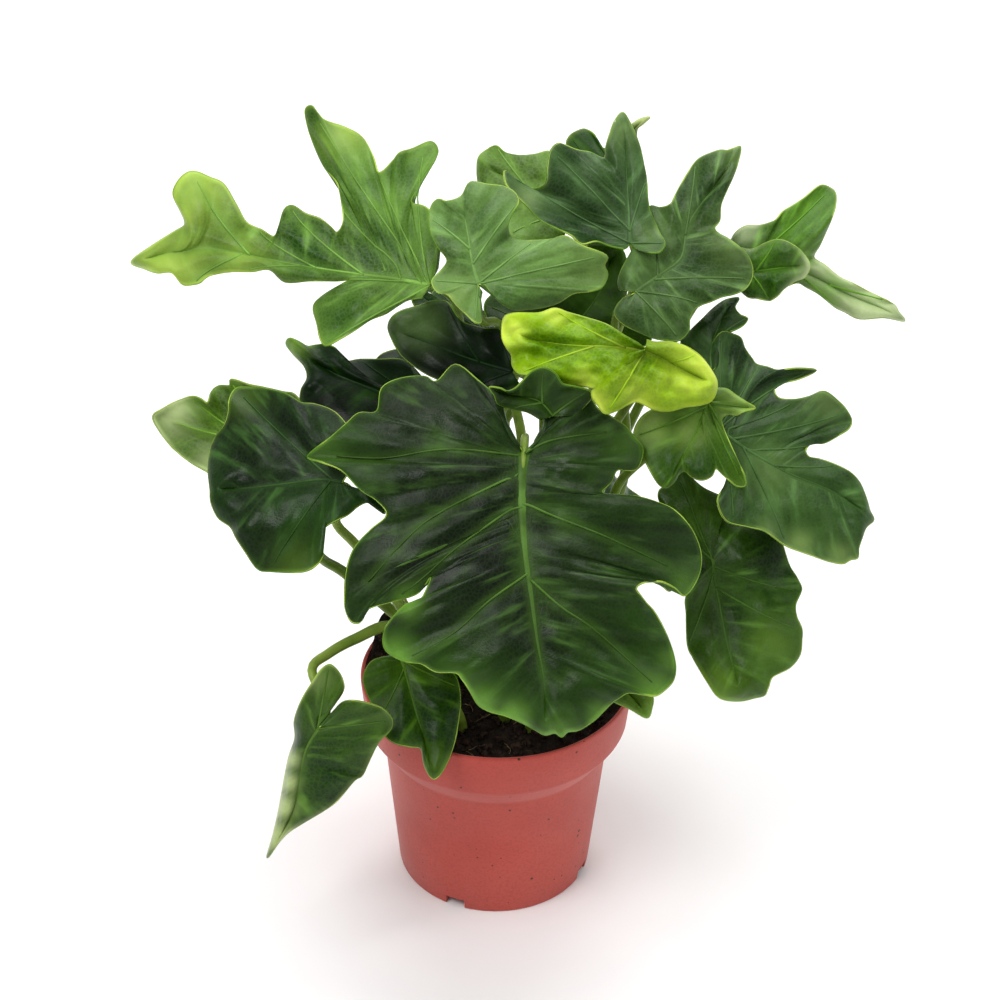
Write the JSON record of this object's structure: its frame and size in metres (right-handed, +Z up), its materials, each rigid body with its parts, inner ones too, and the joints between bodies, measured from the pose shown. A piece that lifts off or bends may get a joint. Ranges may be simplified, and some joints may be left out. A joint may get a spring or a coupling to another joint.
{
  "type": "potted philodendron",
  "caption": "Bushy lobed-leaf philodendron in a round terracotta-coloured plastic nursery pot.",
  "frame": {"origin": "middle of the pot's underside, at the surface that it stands on", "axes": "+Z up along the pot's axis, -Y towards the side that the big front leaf faces, +X to that viewer's right"},
  "size_m": [0.3337, 0.2356, 0.3303],
  "materials": {
    "pot_plastic": "satin",
    "potting_soil": "matte",
    "mature_leaf": "satin",
    "pale_leaf": "satin",
    "young_leaf": "satin",
    "stem_sheath": "satin"
  },
  "bodies": {
    "root": {"pot": "pot_plastic", "soil": "potting_soil", "crown": "stem_sheath", "leaf_front": "mature_leaf", "leaf_left": "mature_leaf", "leaf_left_back": "pale_leaf", "leaf_mid_left": "mature_leaf", "leaf_upper_left": "mature_leaf", "leaf_upper_mid": "mature_leaf", "leaf_top": "mature_leaf", "leaf_top_pale": "pale_leaf", "leaf_top_back": "mature_leaf", "leaf_mid_back": "mature_leaf", "leaf_upper_right": "mature_leaf", "leaf_far_right": "mature_leaf", "leaf_mid_right": "mature_leaf", "leaf_low_right": "mature_leaf", "leaf_young": "young_leaf", "leaf_under_young": "pale_leaf", "leaf_inner": "mature_leaf", "leaf_rim": "mature_leaf", "leaf_hanging": "mature_leaf", "leaf_low_tip": "mature_leaf", "leaf_back_1": "mature_leaf", "leaf_back_2": "mature_leaf", "leaf_back_3": "mature_leaf", "leaf_back_4": "mature_leaf"}
  },
  "joints": []
}
